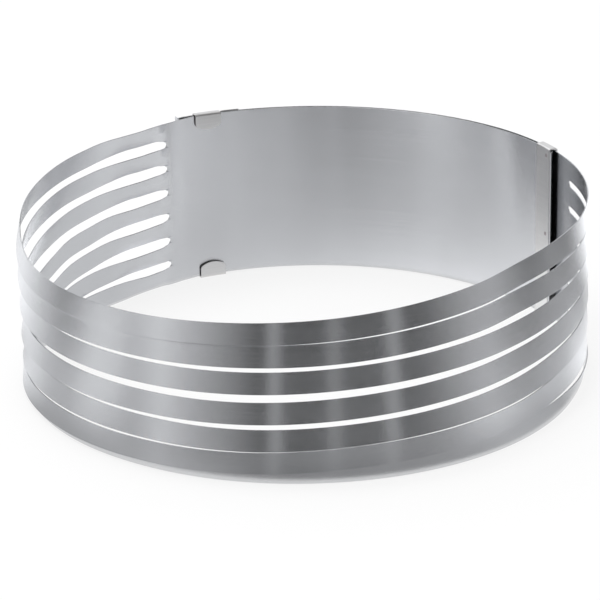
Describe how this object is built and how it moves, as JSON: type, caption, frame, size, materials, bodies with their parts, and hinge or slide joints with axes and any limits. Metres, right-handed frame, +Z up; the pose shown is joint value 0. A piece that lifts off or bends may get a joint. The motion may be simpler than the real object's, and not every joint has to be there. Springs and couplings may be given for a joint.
{
  "type": "adjustable cake ring",
  "caption": "Slotted spring steel strip bent into an overlapping ring with hooked end clips, for cutting a cake into even layers.",
  "frame": {"origin": "centre of the ring's box at the height of the surface that it stands on", "axes": "+Z up, -Y towards the slotted front, +X to the right as seen from the front, so that the overlapping ends lie at +Y"},
  "size_m": [0.2602, 0.2592, 0.0863],
  "materials": {
    "strip_steel": "finely brushed along the strip",
    "clip_steel": "satin, spot welded"
  },
  "bodies": {
    "back_left": {"rib_1_back_left": "strip_steel", "rib_2_back_left": "strip_steel", "rib_3_back_left": "strip_steel", "rib_4_back_left": "strip_steel", "rib_5_back_left": "strip_steel", "rib_6_back_left": "strip_steel", "rib_7_back_left": "strip_steel"},
    "left": {"rib_1_left": "strip_steel", "rib_2_left": "strip_steel", "rib_3_left": "strip_steel", "rib_4_left": "strip_steel", "rib_5_left": "strip_steel", "rib_6_left": "strip_steel", "rib_7_left": "strip_steel"},
    "front_left": {"rib_1_front_left": "strip_steel", "rib_2_front_left": "strip_steel", "rib_3_front_left": "strip_steel", "rib_4_front_left": "strip_steel", "rib_5_front_left": "strip_steel", "rib_6_front_left": "strip_steel", "rib_7_front_left": "strip_steel"},
    "front": {"rib_1_front": "strip_steel", "rib_2_front": "strip_steel", "rib_3_front": "strip_steel", "rib_4_front": "strip_steel", "rib_5_front": "strip_steel", "rib_6_front": "strip_steel", "rib_7_front": "strip_steel"},
    "front_right": {"rib_1_front_right": "strip_steel", "rib_2_front_right": "strip_steel", "rib_3_front_right": "strip_steel", "rib_4_front_right": "strip_steel", "rib_5_front_right": "strip_steel", "rib_6_front_right": "strip_steel", "rib_7_front_right": "strip_steel"},
    "right": {"rib_1_right": "strip_steel", "rib_2_right": "strip_steel", "rib_3_right": "strip_steel", "rib_4_right": "strip_steel", "rib_5_right": "strip_steel", "rib_6_right": "strip_steel", "rib_7_right": "strip_steel"},
    "inner_comb": {"inner_comb": "strip_steel"},
    "inner_wall_left": {"inner_wall_left": "strip_steel"},
    "inner_wall_right": {"inner_wall_right": "strip_steel"},
    "inner_end": {"inner_end": "strip_steel", "inner_end_clip": "clip_steel"},
    "outer_comb": {"outer_comb": "strip_steel"},
    "outer_wall_right": {"outer_wall_right": "strip_steel"},
    "outer_wall_left": {"outer_wall_left": "strip_steel"},
    "outer_end": {"outer_end": "strip_steel", "outer_end_clip": "clip_steel"}
  },
  "joints": [
    {"name": "bend_at_front_right", "type": "hinge", "parent": "front", "child": "front_right", "pos_m": [0.04271, -0.12062, 0], "axis": [0, 0, -1], "range_deg": [0, 6.02]},
    {"name": "bend_at_right", "type": "hinge", "parent": "front_right", "child": "right", "pos_m": [0.11039, -0.06653, 0], "axis": [0, 0, -1], "range_deg": [0, 5.92]},
    {"name": "bend_at_outer_comb", "type": "hinge", "parent": "right", "child": "outer_comb", "pos_m": [0.12823, 0.01837, 0], "axis": [0, 0, -1], "range_deg": [0, 5.1]},
    {"name": "bend_at_outer_wall_right", "type": "hinge", "parent": "outer_comb", "child": "outer_wall_right", "pos_m": [0.1057, 0.07517, 0], "axis": [0, 0, -1], "range_deg": [0, 4.19]},
    {"name": "bend_at_outer_wall_left", "type": "hinge", "parent": "outer_wall_right", "child": "outer_wall_left", "pos_m": [0.05945, 0.11519, 0], "axis": [0, 0, -1], "range_deg": [0, 3.99]},
    {"name": "bend_at_outer_end", "type": "hinge", "parent": "outer_wall_left", "child": "outer_end", "pos_m": [-0.00011, 0.12935, 0], "axis": [0, 0, -1], "range_deg": [0, 4.19]},
    {"name": "bend_at_front_left", "type": "hinge", "parent": "front", "child": "front_left", "pos_m": [-0.04378, -0.11931, 0], "axis": [0, 0, 1], "range_deg": [0, 6.02]},
    {"name": "bend_at_left", "type": "hinge", "parent": "front_left", "child": "left", "pos_m": [-0.11073, -0.06402, 0], "axis": [0, 0, 1], "range_deg": [0, 6.02]},
    {"name": "bend_at_back_left", "type": "hinge", "parent": "left", "child": "back_left", "pos_m": [-0.12541, 0.02165, 0], "axis": [0, 0, 1], "range_deg": [0, 6.12]},
    {"name": "bend_at_inner_comb", "type": "hinge", "parent": "back_left", "child": "inner_comb", "pos_m": [-0.08057, 0.09434, 0], "axis": [0, 0, 1], "range_deg": [0, 5.07]},
    {"name": "bend_at_inner_wall_left", "type": "hinge", "parent": "inner_comb", "child": "inner_wall_left", "pos_m": [-0.0295, 0.124, 0], "axis": [0, 0, 1], "range_deg": [0, 4.13]},
    {"name": "bend_at_inner_wall_right", "type": "hinge", "parent": "inner_wall_left", "child": "inner_wall_right", "pos_m": [0.03014, 0.1242, 0], "axis": [0, 0, 1], "range_deg": [0, 4.13]},
    {"name": "bend_at_inner_end", "type": "hinge", "parent": "inner_wall_right", "child": "inner_end", "pos_m": [0.08326, 0.09722, 0], "axis": [0, 0, 1], "range_deg": [0, 4.13]}
  ],
  "couplings": [
    {"joint": "bend_at_right", "follows": "bend_at_front_right", "ratio": 0.9833},
    {"joint": "bend_at_outer_comb", "follows": "bend_at_front_right", "ratio": 0.848},
    {"joint": "bend_at_outer_wall_right", "follows": "bend_at_front_right", "ratio": 0.6961},
    {"joint": "bend_at_outer_wall_left", "follows": "bend_at_front_right", "ratio": 0.6629},
    {"joint": "bend_at_outer_end", "follows": "bend_at_front_right", "ratio": 0.6961},
    {"joint": "bend_at_front_left", "follows": "bend_at_front_right", "ratio": 1},
    {"joint": "bend_at_left", "follows": "bend_at_front_right", "ratio": 1},
    {"joint": "bend_at_back_left", "follows": "bend_at_front_right", "ratio": 1.0166},
    {"joint": "bend_at_inner_comb", "follows": "bend_at_front_right", "ratio": 0.8433},
    {"joint": "bend_at_inner_wall_left", "follows": "bend_at_front_right", "ratio": 0.6867},
    {"joint": "bend_at_inner_wall_right", "follows": "bend_at_front_right", "ratio": 0.6867},
    {"joint": "bend_at_inner_end", "follows": "bend_at_front_right", "ratio": 0.6867}
  ]
}
